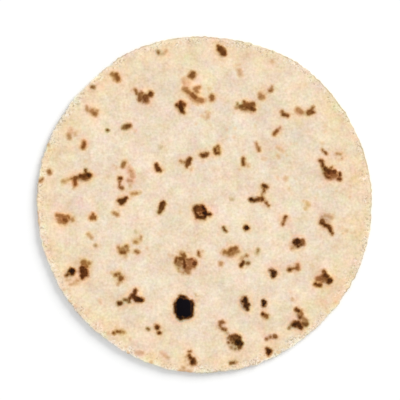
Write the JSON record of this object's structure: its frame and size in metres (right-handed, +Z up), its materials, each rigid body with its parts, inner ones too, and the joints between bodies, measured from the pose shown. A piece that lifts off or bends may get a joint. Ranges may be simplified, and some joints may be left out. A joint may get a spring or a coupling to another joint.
{
  "type": "piadina",
  "caption": "Thin round flatbread lying flat, pale floury dough with scattered dark toasted blisters on its upper face.",
  "frame": {"origin": "under the middle of the bread, on the surface that it lies on", "axes": "+Z up, out of the toasted upper face; +X to the right and +Y away from the viewer as the bread is seen from above"},
  "size_m": [0.2396, 0.2405, 0.004],
  "materials": {
    "dough": "dry floury baked dough, pale cream with toasted brown and near-black blisters"
  },
  "bodies": {
    "root": {"piadina": "dough"}
  },
  "joints": []
}
